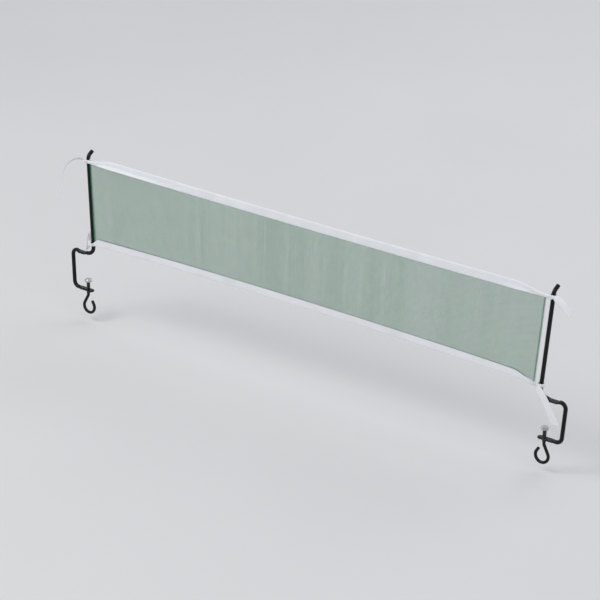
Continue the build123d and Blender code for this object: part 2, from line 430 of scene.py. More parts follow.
def open_tree(name: str, kind: str, inputs: dict[str, str | int | float],
              outputs: dict[str, str]) -> tuple[Formula, dict[str, NodeSocket], Node]:
    """Start a node tree with named inputs and outputs.

    Args:
        name: the tree's name.
        kind: GeometryNodeTree or ShaderNodeTree.
        inputs: each input's number, or the word for its type where it has no number.
        outputs: the word for each output's type.

    Returns:
        The tree's Formula, its input sockets by name, and its output node.
    """
    tree = bpy.data.node_groups.new(name, kind)
    for label, value in inputs.items():
        is_word = isinstance(value, str)
        word = value if is_word else type(value).__name__.capitalize()
        made = tree.interface.new_socket(label, in_out="INPUT", socket_type="NodeSocket" + word)
        if not is_word:
            made.default_value = value
    for label, word in outputs.items():
        tree.interface.new_socket(label, in_out="OUTPUT", socket_type="NodeSocket" + word)
    start = tree.nodes.new("NodeGroupInput")
    end = tree.nodes.new("NodeGroupOutput")
    sockets = {label: start.outputs[label] for label in inputs}
    return Formula(tree), sockets, end


def bake(name: str, tree: NodeTree, sizes: dict[str, Any], start: Mesh) -> Object:
    """Run a Geometry Nodes tree and keep its result as a plain mesh.

    Args:
        name: the new piece's name.
        tree: the tree.
        sizes: a value for each of its named inputs.
        start: the mesh that goes into the tree.

    Returns:
        The new piece, with no modifier.
    """
    carrier = add_object(name + "_carrier", start)
    maker = carrier.modifiers.new("Maker", "NODES")
    maker.node_group = tree
    labels = {item.name: item.identifier for item in tree.interface.items_tree if item.in_out == "INPUT"}
    for label, value in sizes.items():
        maker[labels[label]] = value
    graph = bpy.context.evaluated_depsgraph_get()
    mesh = bpy.data.meshes.new_from_object(carrier.evaluated_get(graph), preserve_all_data_layers=True,
                                           depsgraph=graph)
    mesh.name = name
    bpy.data.objects.remove(carrier)
    return add_object(name, mesh)


DRIFT_SCALE = 55.0  # how quickly the net's threads stray along their way
DRIFT_GAIN = (4.0, 4.0, 4.0)  # brings the noise's usual swing up to the full stray
NOISE_MIDDLE = (0.5, 0.5, 0.5)
TURN_STOPS = 33  # points round one turn of the screw's thread
FLANK = (0.12, 0.88)  # where the thread's flank leaves its root and meets its crest
END_RING = 0.01  # the share of a turn at each end of the thread where it closes on its axis
TINY = 1e-6


class WeaveTree:
    """A sheet of crossing threads, spread between a lower and an upper edge line."""

    @staticmethod
    def build() -> NodeTree:
        """Make the Geometry Nodes tree: uprights and level threads in two layers, both straying a little.

        Returns:
            The tree, with the weave's sizes as named inputs.
        """
        f, put, end = open_tree("Woven net", "GeometryNodeTree", {
            "Edges": "Geometry", "Columns": 10, "Rows": 10, "Upright Stops": 12, "Level Stops": 100,
            "Thread": 0.0004, "Lay": 0.0001, "Stray": 0.0001, "Material": "Material"},
            {"Geometry": "Geometry"})
        x, y, _ = f.split(f.geo("InputPosition"))
        u, v = f.plus(x, 0.5), f.plus(y, 0.5)
        curves = f.geo("MeshToCurve", Mesh=put["Edges"])
        low, high = [
            f.add("GeometryNodeSampleCurve", {"mode": "FACTOR"},
                  {"Curves": curves, "Factor": u, "Curve Index": number}).outputs["Position"]
            for number in (0, 1)]
        place = f.between(v, low, high)
        drift = f.add("ShaderNodeTexNoise", None, {
            "Vector": place, "Scale": DRIFT_SCALE, "Detail": 2.0}).outputs["Color"]
        sway = f.lift("MULTIPLY", f.lift("SUBTRACT", drift, NOISE_MIDDLE),
                      f.join(put["Stray"], put["Lay"], put["Stray"]))
        place = f.lift("ADD", place, f.lift("MULTIPLY", sway, DRIFT_GAIN))
        ends = f.add("GeometryNodeInputMeshEdgeVertices").outputs
        from_end, to_end = ends["Position 1"], ends["Position 2"]
        step_x = f.math("ABSOLUTE", f.split(f.lift("SUBTRACT", from_end, to_end))[0])
        profile = f.geo("CurvePrimitiveCircle", Resolution=4, Radius=f.times(put["Thread"], 0.5))
        gather = f.add("GeometryNodeJoinGeometry")
        for columns, rows, crossing, layer in (
            (put["Columns"], put["Upright Stops"], "GREATER_THAN", 1.0),
            (put["Level Stops"], put["Rows"], "LESS_THAN", -1.0),
        ):
            grid = f.geo("MeshGrid", Size_X=1.0, Size_Y=1.0, Vertices_X=columns, Vertices_Y=rows)
            lines = f.add("GeometryNodeDeleteGeometry", {"domain": "EDGE", "mode": "EDGE_FACE"},
                          {"Geometry": grid, "Selection": f.math(crossing, step_x, TINY)}).outputs[0]
            bent = f.lift("ADD", place, f.join(0.0, f.times(put["Lay"], layer), 0.0))
            strands = f.geo("MeshToCurve", Mesh=f.geo("SetPosition", Geometry=lines, Position=bent))
            threads = f.geo("CurveToMesh", Curve=strands, Profile_Curve=profile, Fill_Caps=True)
            f.send(threads, gather.inputs[0])
        return f.dress(gather.outputs[0], put["Material"], end)


class StitchTree:
    """Stitches of sewing thread along every line of a mesh."""

    @staticmethod
    def build() -> NodeTree:
        """Make the Geometry Nodes tree.

        Returns:
            The tree, with the stitch's sizes as named inputs.
        """
        f, put, end = open_tree("Lock stitches", "GeometryNodeTree", {
            "Geometry": "Geometry", "Spacing": 0.0028, "Length": 0.002, "Thickness": 0.0004,
            "Material": "Material"}, {"Geometry": "Geometry"})
        curve = f.geo("MeshToCurve", Mesh=put["Geometry"])
        stops = f.add("GeometryNodeResampleCurve", {"mode": "LENGTH"},
                      {"Curve": curve, "Length": put["Spacing"]}).outputs[0]
        bead = f.geo("MeshUVSphere", Segments=6, Rings=5, Radius=0.5)
        bead = f.geo("Transform", Geometry=bead, Rotation=(0.0, math.pi / 2, 0.0))
        turn = f.add("FunctionNodeAlignRotationToVector", {"axis": "X"}, {
            "Vector": f.geo("InputTangent")}).outputs[0]
        laid = f.geo("InstanceOnPoints", Points=stops, Instance=bead, Rotation=turn,
                     Scale=f.join(put["Length"], put["Thickness"], put["Thickness"]))
        return f.dress(laid, put["Material"], end)


class ThreadTree:
    """A right-hand screw thread round an upright axis, joined to the wire that goes in."""

    @staticmethod
    def build() -> NodeTree:
        """Make the Geometry Nodes tree.

        Returns:
            The tree, with the thread's sizes as named inputs.
        """
        f, put, end = open_tree("Rolled thread", "GeometryNodeTree", {
            "Geometry": "Geometry", "Axis": "Vector", "Low": 0.0, "High": 0.01, "Root Radius": 0.002,
            "Crest Radius": 0.0025, "Pitch": 0.0008, "Rows": 100, "Material": "Material"},
            {"Geometry": "Geometry"})
        grid = f.geo("MeshGrid", Size_X=1.0, Size_Y=1.0, Vertices_X=TURN_STOPS, Vertices_Y=put["Rows"])
        x, y, _ = f.split(f.geo("InputPosition"))
        u, v = f.plus(x, 0.5), f.plus(y, 0.5)
        height = f.plus(put["Low"], f.times(v, f.minus(put["High"], put["Low"])))
        phase = f.math("FRACT", f.minus(f.over(height, put["Pitch"]), u))
        flank = f.math("ABSOLUTE", f.scaled(phase, 2.0, -1.0))
        crest = f.ramp(flank, *FLANK)
        from_low = f.over(f.minus(height, put["Low"]), put["Pitch"])
        from_high = f.over(f.minus(put["High"], height), put["Pitch"])
        inside = f.math("MINIMUM", f.math("MINIMUM", from_low, from_high), 1.0)
        ridge = f.times(crest, inside)
        radius = f.plus(put["Root Radius"],
                        f.times(ridge, f.minus(put["Crest Radius"], put["Root Radius"])))
        closed = f.times(radius, f.math("GREATER_THAN", inside, END_RING))
        angle = f.times(u, math.tau)
        ring = f.join(f.times(f.math("COSINE", angle), closed),
                      f.times(f.math("SINE", angle), closed), height)
        marked = f.add("GeometryNodeStoreNamedAttribute", {"data_type": "FLOAT", "domain": "POINT"}, {
            "Geometry": grid, "Name": "crest", "Value": ridge}).outputs[0]
        placed = f.geo("SetPosition", Geometry=marked, Position=f.lift("ADD", put["Axis"], ring))
        sealed = f.geo("MergeByDistance", Geometry=placed, Distance=TINY)
        both = f.add("GeometryNodeJoinGeometry")
        f.send(sealed, both.inputs[0])
        f.send(put["Geometry"], both.inputs[0])
        return f.dress(both.outputs[0], put["Material"], end)


# ---- effects that several finishes share ----
class Effects:
    """Shader node groups, built once and placed in each material with its own values."""

    def __init__(self) -> None:
        """Build the four groups."""
        self.weave = self._weave()
        self.wear = self._wear()
        self.dust = self._dust()
        self.twist = self._twist()

    @staticmethod
    def _weave() -> NodeTree:
        """Plain weave: each crossing is a small pillow, long one way and then the other.

        Returns:
            The group.
        """
        f, put, end = open_tree("Plain weave", "ShaderNodeTree", {"Vector": "Vector", "Threads": 2000.0},
                                {"Height": "Float", "Shade": "Float"})
        u, v, _ = f.split(put["Vector"])
        wave = [f.math("SINE", f.times(f.times(part, put["Threads"]), math.pi)) for part in (u, v)]
        flip = f.math("GREATER_THAN", f.times(*wave), 0.0)
        across = f.math("POWER", f.math("ABSOLUTE", wave[0]), f.scaled(flip, -0.6, 1.0))
        along = f.math("POWER", f.math("ABSOLUTE", wave[1]), f.scaled(flip, 0.6, 0.4))
        f.send(f.times(across, along), end.inputs["Height"])
        streak = f.noise(f.lift("MULTIPLY", put["Vector"], (60.0, 900.0, 60.0)), 1.0, 2.0)
        cloud = f.noise(put["Vector"], 45.0, 4.0)
        f.send(f.times(f.plus(streak, cloud), 0.5), end.inputs["Shade"])
        return f.tree

    @staticmethod
    def _wear() -> NodeTree:
        """Scuffs: small torn patches where a finish has rubbed through.

        Returns:
            The group.
        """
        f, put, end = open_tree("Rubbed wear", "ShaderNodeTree", {
            "Vector": "Vector", "Scale": 300.0, "Amount": 0.2}, {"Mask": "Float", "Scratch": "Float"})
        patches = f.noise(put["Vector"], f.times(put["Scale"], 0.25), 2.0)
        grain = f.noise(put["Vector"], put["Scale"], 6.0, Roughness=0.7)
        level = f.plus(f.times(patches, 0.6), f.times(grain, 0.4))
        edge = f.minus(0.74, f.times(put["Amount"], 0.3))
        step = f.times(f.minus(level, edge), 30.0)
        f.send(f.math("MINIMUM", f.math("MAXIMUM", step, 0.0), 1.0), end.inputs["Mask"])
        stretched = f.lift("MULTIPLY", put["Vector"], (1.0, 1.0, 0.06))
        lines = f.noise(stretched, f.times(put["Scale"], 6.0), 2.0)
        f.send(f.ramp(lines, 0.56, 0.72), end.inputs["Scratch"])
        return f.tree

    @staticmethod
    def _dust() -> NodeTree:
        """A thin uneven film of dust and handling.

        Returns:
            The group.
        """
        f, put, end = open_tree("Dust film", "ShaderNodeTree", {"Vector": "Vector", "Amount": 0.2},
                                {"Mask": "Float"})
        broad = f.noise(put["Vector"], 22.0, 4.0)
        fine = f.noise(put["Vector"], 700.0, 3.0)
        film = f.times(f.ramp(broad, 0.35, 0.75), f.scaled(fine, 0.8, 0.3))
        f.send(f.times(film, put["Amount"]), end.inputs["Mask"])
        return f.tree

    @staticmethod
    def _twist() -> NodeTree:
        """The slanting lay of a twisted yarn.

        Returns:
            The group.
        """
        f, put, end = open_tree("Yarn twist", "ShaderNodeTree", {"Vector": "Vector", "Pitch": 0.0006},
                                {"Height": "Float", "Shade": "Float"})
        x, y, z = f.split(put["Vector"])
        slant = f.plus(f.plus(x, z), f.times(y, 0.7))
        wave = f.math("SINE", f.times(f.over(slant, put["Pitch"]), math.tau))
        f.send(f.scaled(wave, 0.5, 0.5), end.inputs["Height"])
        f.send(f.noise(put["Vector"], 120.0, 4.0), end.inputs["Shade"])
        return f.tree


class Canvas(Formula):
    """A material being painted: its nodes, its Principled shader and its coordinates."""

    def __init__(self, name: str) -> None:
        """Start an empty material with a Principled shader.

        Args:
            name: the material's name.
        """
        self.material = bpy.data.materials.new(name)
        self.material.use_nodes = True
        super().__init__(self.material.node_tree)
        self.tree.nodes.clear()
        self.shader = self.add("ShaderNodeBsdfPrincipled")
        self.add("ShaderNodeOutputMaterial", None, {"Surface": self.shader.outputs[0]})
        self.here = self.add("ShaderNodeTexCoord").outputs

    def set(self, **values: Any) -> None:
        """Set or link the shader's inputs, with _ for each space in a name."""
        for name, value in values.items():
            self.feed(self.shader.inputs[name.replace("_", " ")], value)

    def group(self, tree: NodeTree, **inputs: Any) -> bpy.types.bpy_prop_collection:
        """Place one of the shared effects.

        Args:
            tree: the effect's node group.
            inputs: a value for each of its inputs.

        Returns:
            The effect's outputs.
        """
        return self.add("ShaderNodeGroup", {"node_tree": tree}, inputs).outputs

    def bump(self, height: Any, distance: float, strength: float) -> None:
        """Turn a height, times a distance in metres, into the shader's normal."""
        inputs = {"Strength": strength, "Distance": distance, "Height": height}
        self.set(Normal=self.add("ShaderNodeBump", None, inputs).outputs[0])


@dataclass(frozen=True)
class Finish:
    """A surface that can be painted as a material."""

    def paint(self, c: Canvas, effects: Effects) -> None:
        """Add the finish's nodes to an empty canvas.

        Args:
            c: the canvas.
            effects: the shared node groups.
        """
        raise NotImplementedError

    def build(self, name: str, effects: Effects) -> Material:
        """Make the material.

        Args:
            name: its name.
            effects: the shared node groups.

        Returns:
            The material.
        """
        canvas = Canvas(name)
        self.paint(canvas, effects)
        return canvas.material


@dataclass(frozen=True)
class BlackEnamel(Finish):
    """Thick black enamel over bent steel rod, rubbed to bare metal in specks."""

    coat: Colour = (0.003, 0.0034, 0.0033, 1.0)
    worn: Colour = (0.20, 0.20, 0.21, 1.0)
    dusty: Colour = (0.16, 0.155, 0.145, 1.0)
    dust: float = 0.04
    wear: float = 0.1
    threaded: bool = False

    def paint(self, c: Canvas, effects: Effects) -> None:
        """Paint black enamel, rubbed and a little dusty.

        Args:
            c: the canvas.
            effects: the shared node groups.
        """
        place = c.here["Object"]
        rubbed, scratch = c.group(effects.wear, Vector=place, Scale=420.0, Amount=self.wear)
        film = c.group(effects.dust, Vector=place, Amount=self.dust)[0]
        bare = rubbed
        if self.threaded:
            crest = c.add("ShaderNodeAttribute", {"attribute_name": "crest"}).outputs["Fac"]
            polished = c.times(c.ramp(crest, 0.72, 1.0), c.ramp(c.noise(place, 260.0), 0.32, 0.62))
            bare = c.math("MAXIMUM", rubbed, c.times(polished, 0.8))
        colour = c.mix(bare, c.mix(film, self.coat, self.dusty), self.worn)
        dull = c.plus(c.times(c.noise(place, 90.0), 0.16), 0.16)
        rough = c.plus(dull, c.plus(c.times(film, 0.9), c.times(scratch, 0.10)))
        c.set(Base_Color=colour, Roughness=c.plus(rough, c.times(bare, 0.12)), Metallic=bare,
              Coat_Weight=c.scaled(bare, -0.08, 0.08), Coat_Roughness=0.10, Specular_IOR_Level=0.18)
        peel = c.times(c.noise(place, 380.0, 1.0), 0.8)
        c.bump(c.minus(peel, c.times(bare, 0.35)), 0.00022, 0.55)


@dataclass(frozen=True)
class PlatedSteel(Finish):
    """Turned steel with a dull bright plating."""

    face: Colour = (0.52, 0.53, 0.55, 1.0)
    tarnish: Colour = (0.30, 0.28, 0.25, 1.0)

    def paint(self, c: Canvas, effects: Effects) -> None:
        """Paint plated steel, stained and ringed.

        Args:
            c: the canvas.
            effects: the shared node groups.
        """
        place = c.here["Object"]
        rubbed, scratch = c.group(effects.wear, Vector=place, Scale=500.0, Amount=0.5)
        film = c.group(effects.dust, Vector=place, Amount=0.35)[0]
        rings = c.noise(c.lift("MULTIPLY", place, (1.0, 1.0, 14.0)), 900.0, 2.0)
        stain = c.math("MAXIMUM", rubbed, film)
        c.set(Base_Color=c.mix(stain, self.face, self.tarnish), Metallic=c.scaled(stain, -0.3, 1.0),
              Roughness=c.plus(c.scaled(stain, 0.3, 0.26), c.times(scratch, 0.12)))
        c.bump(c.plus(rings, c.times(scratch, -0.4)), 0.00006, 0.7)


@dataclass(frozen=True)
class WovenTape(Finish):
    """White cotton tape in a tight plain weave, a little creased and handled, with painted shade in the
    hollows between its threads.
    """

    yarn: Colour = (0.83, 0.84, 0.875, 1.0)
    # gap: painted shade, the darker colour laid into the hollows between the weave's threads
    gap: Colour = (0.66, 0.67, 0.71, 1.0)
    soiled: Colour = (0.62, 0.60, 0.58, 1.0)
    threads: float = 2300.0
    soil: float = 0.30

    def paint(self, c: Canvas, effects: Effects) -> None:
        """Paint woven tape, creased and a little soiled, with painted shade between its threads.

        Args:
            c: the canvas.
            effects: the shared node groups.
        """
        cloth = c.here["UV"]
        height, shade = c.group(effects.weave, Vector=cloth, Threads=self.threads)
        film = c.group(effects.dust, Vector=c.here["Object"], Amount=self.soil)[0]
        # Painted shade: where the weave's height is low, between the threads, the colour darkens to gap.
        weave_gap_shade = c.mix(c.ramp(height, 0.0, 0.6), self.gap, self.yarn)
        toned = c.mix(c.ramp(shade, 0.35, 0.7), weave_gap_shade, self.yarn)
        c.set(Base_Color=c.mix(film, toned, self.soiled), Roughness=c.scaled(shade, 0.15, 0.72),
              Sheen_Weight=0.25, Sheen_Roughness=0.45, Specular_IOR_Level=0.25,
              Subsurface_Weight=0.12, Subsurface_Scale=0.0008)
        creases = c.times(c.noise(c.lift("MULTIPLY", cloth, (1.0, 0.45, 1.0)), 190.0, 3.0), 1.6)
        c.bump(c.plus(c.times(height, 0.5), creases), 0.00022, 0.8)


@dataclass(frozen=True)
class Yarn(Finish):
    """Twisted yarn, for the net's threads or for sewing."""

    colour: Colour
    faded: Colour
    pitch: float = 0.0009

    def paint(self, c: Canvas, effects: Effects) -> None:
        """Paint twisted yarn, faded in patches.

        Args:
            c: the canvas.
            effects: the shared node groups.
        """
        place = c.here["Object"]
        height, shade = c.group(effects.twist, Vector=place, Pitch=self.pitch)
        film = c.group(effects.dust, Vector=place, Amount=0.12)[0]
        tone = c.plus(c.times(c.ramp(shade, 0.3, 0.75), 0.75), film)
        c.set(Base_Color=c.mix(tone, self.colour, self.faded), Sheen_Weight=0.2, Sheen_Roughness=0.5,
              Roughness=c.scaled(shade, 0.2, 0.5), Specular_IOR_Level=0.35)
        c.bump(height, 0.00012, 0.6)


# ---- the frame's own lines ----
@dataclass(frozen=True)
class Post:
    """A post's axis, from the centre of its bottom tie to the centre of its top one."""

    side: Side
    low: np.ndarray
    high: np.ndarray

    @classmethod
    def read(cls, side: Side) -> "Post":
        """Read one post from the knots that are tied round it.

        Args:
            side: which post.

        Returns:
            The post.
        """
        ties = []
        for level in (Level.BOTTOM, Level.TOP):
            lowest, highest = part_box(f"{side.word}_{level}_knot")
            middle = (lowest + highest) / 2 / MM
            ties.append(np.array((middle.x, 0.0, middle.z)))
        return cls(side, *ties)

    @property
    def along(self) -> np.ndarray:
        """The post's direction, upwards."""
        return (self.high - self.low) / np.linalg.norm(self.high - self.low)

    @property
    def outwards(self) -> np.ndarray:
        """Square to the post, away from the net."""
        a = self.along
        return self.side.value * np.array((a[2], 0.0, -a[0]))

    def tie(self, level: Level) -> np.ndarray:
        """The centre of the tie at one level."""
        return self.high if level is Level.TOP else self.low


# The swivel head inside the pad: each ring's level, its height above that level, and its share of
# the neck's radius.  It starts with the neck and widens under the pad's roof.
SWIVEL_RINGS = (("neck", 0.0, 0.0), ("neck", 0.1, 1.0), ("foot", -0.05, 1.0), ("foot", 0.0, 1.28),
                ("crown", -0.2, 1.29), ("crown", 0.0, 1.15), ("crown", 0.001, 0.0))


@dataclass
class ThumbScrew:
    """A wire with a rolled thread, bent into an open teardrop loop."""

    side: Side
    thread_d: float = 5.0
    root_d: float = 4.25
    pitch: float = 0.8
    wire_d: float = 4.2
    thread_end_z: float = -57.5
    neck_z: float = -60.0
    neck_bend_r: float = 6.0
    bow_r: float = 9.3
    bow_shift: float = -1.8
    bow_z: float = -76.3
    loop_end: tuple[float, float] = (-6.7, -66.5)
    inside_thread: float = 3.0
    dome: float = 1.47
    swivel_neck_d: float = 3.4
    swivel_neck_h: float = 1.0
    pad_roof_t: float = 1.1
    pad_lip_t: float = 1.0
    play: float = 0.1
    around: int = 24
    rows_per_turn: int = 10

    def centre_line(self, axis_x: float) -> np.ndarray:
        """The wire's middle, from inside the thread round the loop to the free end.

        Args:
            axis_x: the screw's axis.

        Returns:
            The line's points.
        """
        s = self.side.value
        bow = np.array((axis_x + s * self.bow_shift, self.bow_z))
        neck = np.array((axis_x, self.neck_z))
        tail = np.array((axis_x + s * self.loop_end[0], self.loop_end[1]))
        touch = []
        for point, turn in ((neck, 1), (tail, -1)):
            gap = bow - point
            half = math.asin(self.bow_r / np.linalg.norm(gap))
            reach = math.sqrt(gap @ gap - self.bow_r**2)
            heading = math.atan2(gap[1], s * gap[0]) + turn * half
            touch.append(point + reach * np.array((s * math.cos(heading), math.sin(heading))))
        start = np.array((axis_x, self.thread_end_z + self.inside_thread))
        into = unit(touch[0] - neck)
        bend = self.neck_bend_r * math.tan(math.acos(float(into @ np.array((0.0, -1.0)))) / 2)
        p0, p1, p2 = neck + np.array((0.0, bend)), neck, neck + into * bend
        first = [blend(start, p0, t) for t in np.linspace(0, 1, 8)]
        curve = [(1 - t)**2 * p0 + 2 * t * (1 - t) * p1 + t**2 * p2 for t in np.linspace(0, 1, 10)[1:]]
        angles = [math.atan2(p[1] - bow[1], s * (p[0] - bow[0])) for p in touch]
        end_angle = angles[1] - math.tau if angles[1] > angles[0] else angles[1]
        arc = [bow + self.bow_r * np.array((s * math.cos(a), math.sin(a)))
               for a in np.linspace(angles[0], end_angle, 60)]
        last = [blend(touch[1], tail, t) for t in np.linspace(0, 1, 8)[1:]]
        flat = np.array(first + curve + arc + last)
        line = np.stack([flat[:, 0], np.zeros(len(flat)), flat[:, 1]], axis=1)
        return evenly(line, 150)

    def build(self, tree: NodeTree, coat: Material) -> Object:
        """Build the whole screw as one piece.

        Args:
            tree: the Geometry Nodes tree of the thread.
            coat: the screw's finish.

        Returns:
            The screw.
        """
        lowest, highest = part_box(f"{self.side.word}_screw_pad")
        axis_x = (lowest.x + highest.x) / 2 / MM
        top, under = highest.z / MM, lowest.z / MM
        line = self.centre_line(axis_x)
        spacing = line_length(line) / (len(line) - 1)
        radius = self.wire_d / 2 * round_ends(len(line), spacing, self.dome)
        skin, faces = sweep(line, (0, 1, 0), radius, radius, self.around)
        level = {"neck": under - self.play - self.swivel_neck_h, "foot": under + self.pad_lip_t + self.play,
                 "crown": top - self.pad_roof_t - self.play}
        stem = np.array([(axis_x, 0.0, level[name] + rise) for name, rise, _ in SWIVEL_RINGS])
        r = np.array([share for _, _, share in SWIVEL_RINGS]) * self.swivel_neck_d / 2
        knob, more = sweep(stem, (1, 0, 0), r, r, self.around)
        faces += [tuple(i + len(skin) for i in face) for face in more]
        wire = add_piece("wire", np.vstack([skin, knob]), faces)
        point_outwards(wire)
        high = under - self.play
        screw = bake(f"{self.side.word}_wire_thumb_screw", tree, {
            "Axis": (axis_x * MM, 0.0, 0.0), "Low": self.thread_end_z * MM, "High": high * MM,
            "Root Radius": self.root_d / 2 * MM, "Crest Radius": self.thread_d / 2 * MM,
            "Pitch": self.pitch * MM,
            "Rows": int((high - self.thread_end_z) / self.pitch * self.rows_per_turn),
            "Material": coat}, wire.data)
        bpy.data.objects.remove(wire)
        point_outwards(screw)
        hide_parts(f"{self.side.word}_thumb_screw")
        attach(screw, f"{self.side.word}_screw")
        return screw


@dataclass
class Band:
    """White tape folded over one long edge of the net and gathered into a knot at each end."""

    level: Level
    width: float
    end_z: float
    bow: float
    gather: tuple[float, float]  # at the right end and at the left one
    flare: tuple[float, float]  # in the same order, as is flare_reach
    half_thickness: float = 0.85
    cloth_t: float = 0.32
    middle_y: float = -3.8
    knot_y: float = -5.9
    knot_half_h: float = 1.7
    knot_half_t: float = 1.25
    full_from: float = 2.0
    end_gap: float = 1.0
    lip: float = 0.42  # the share of the width, from the open edge, that flares
    lip_rise: float = 0.45
    flare_reach: tuple[tuple[float, float], tuple[float, float]] = ((20.0, 90.0), (30.0, 190.0))
    wander: float = 0.35
    pleat: float = 0.55
    pleat_turns: tuple[float, float] = (14.0, 12.0)
    puckers: tuple[tuple[float, float, float], ...] = ((0.10, 1.35, 0.0), (0.08, 0.61, 1.0))
    seam_inset: float = 2.0
    seam_reach: float = 1.6
    seam_end: float = 17.0
    stitch_pitch: float = 2.9
    stitch_length: float = 2.3
    stitch_d: float = 0.5

    @property
    def name(self) -> str:
        """The piece's name."""
        return f"{self.level}_band_tape"

    @property
    def folded_up(self) -> bool:
        """Whether the fold is the band's upper edge."""
        return self.level is Level.TOP

    def section(self, x: float, posts: dict[Side, Post]) -> tuple[float, float, float, float]:
        """Where the band is, and how far it is gathered, at one place along the net.

        Args:
            x: the place along the net.
            posts: the two posts.

        Returns:
            The heights of its two edges, its distance in front of the posts, and its fullness,
            which is 1 where it lies flat and 0 in the knot.
        """
        side = Side.RIGHT if x > 0 else Side.LEFT
        tie = posts[side].tie(self.level)
        run = self.gather[0] if side is Side.RIGHT else self.gather[1]
        away = abs(tie[0]) - abs(x)
        full = float(ease(away, self.full_from, run))
        low = self.end_z + self.bow * (1 - (x / tie[0])**2)
        middle = blend(tie[2], low + self.width / 2, float(ease(away, 0.0, run)))
        half = blend(self.knot_half_h, self.width / 2, full)
        return middle - half, middle + half, blend(self.knot_y, self.middle_y, full), full

    def build(self, posts: dict[Side, Post], tape: Material) -> Object:
        """Build the folded tape.

        Args:
            posts: the two posts.
            tape: its finish.

        Returns:
            The band.
        """
        tie = {side: post.tie(self.level)[0] for side, post in posts.items()}
        stations = np.linspace(tie[Side.LEFT] + self.end_gap, tie[Side.RIGHT] - self.end_gap, 300)
        legs = np.linspace(0, 1, 10)
        fold = np.linspace(0, math.pi, 7)[1:-1]
        seams = np.exp(-((legs * self.width - self.seam_inset) / self.seam_reach)**2)
        rng = np.random.default_rng(7 if self.folded_up else 11)
        ripple = np.cumsum(rng.normal(0, 1, 400))
        ripple = (ripple - np.linspace(ripple[0], ripple[-1], len(ripple))) / np.ptp(ripple)
        ripple_x = np.linspace(stations[0], stations[-1], len(ripple))
        edge = self.width + self.half_thickness * math.pi
        rows, uvs = [], []
        for x in stations:
            low, high, y, full = self.section(x, posts)
            flares = [flare * (1 - ease(abs(abs(tie[side]) - abs(x)), *reach))
                      for side, flare, reach in zip(Side, self.flare, self.flare_reach) if side.value * x > 0]
            kick = sum(flares) * ease(full, 0.1, 0.9)
            b = blend(self.knot_half_t, self.half_thickness, full)
            height = high - low
            shift = self.wander * float(np.interp(x, ripple_x, ripple)) * full
            pucker = sum(a * math.sin(x / run + turn) for a, run, turn in self.puckers)
            points, across = [], []
            for f, seam in zip(legs, seams):
                out = max(0.0, self.lip - f) / self.lip * kick
                pleat = (1 - full) * self.pleat * math.sin(f * self.pleat_turns[0])
                points.append((-b - out + pleat - pucker * seam - shift,
                               f * (height - b) + self.lip_rise * out))
                across.append(f * self.width)
            for a in fold:
                points.append((-b * math.cos(a) - shift, height - b + b * math.sin(a)))
                across.append(self.width + a * self.half_thickness)
            for f, seam in zip(legs[::-1], seams[::-1]):
                pleat = (1 - full) * self.pleat * math.cos(f * self.pleat_turns[1])
                points.append((b + pleat + pucker * seam - shift, f * (height - b)))
                across.append(self.width + edge - f * self.width)
            for (dy, dz), v in zip(points, across):
                rows.append((x, y + dy, low + dz if self.folded_up else high - dz))
                uvs.append((x * MM, v * MM))
        columns = len(legs) * 2 + len(fold)
        band = add_piece(self.name, np.array(rows), grid_faces(len(stations), columns), np.array(uvs))
        band.data.materials.append(tape)
        thicken(band, self.cloth_t)
        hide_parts(self.name.replace("_tape", ""))
        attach(band, ROOT_BODY)
        return band

    def stitch(self, posts: dict[Side, Post], tree: NodeTree, thread: Material) -> Object:
        """Sew the band's open edges through the net, on both faces.

        Args:
            posts: the two posts.
            tree: the Geometry Nodes tree of the stitches.
            thread: their finish.

        Returns:
            The stitching.
        """
        half = min(abs(post.low[0]) for post in posts.values()) - self.seam_end
        seams = []
        for face in (-1, 1):
            seams.append([])
            for x in np.linspace(-half, half, 240):
                low, high, y, _ = self.section(x, posts)
                z = low + self.seam_inset if self.folded_up else high - self.seam_inset
                seams[-1].append((x, y + face * (self.half_thickness + self.cloth_t / 2), z))
        stitches = bake(self.name.replace("_tape", "_lock_stitches"), tree, {
            "Spacing": self.stitch_pitch * MM, "Length": self.stitch_length * MM,
            "Thickness": self.stitch_d * MM, "Material": thread}, line_mesh("seam", seams))
        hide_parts(self.name.replace("_tape", "_stitching"))
        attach(stitches, ROOT_BODY)
        return stitches


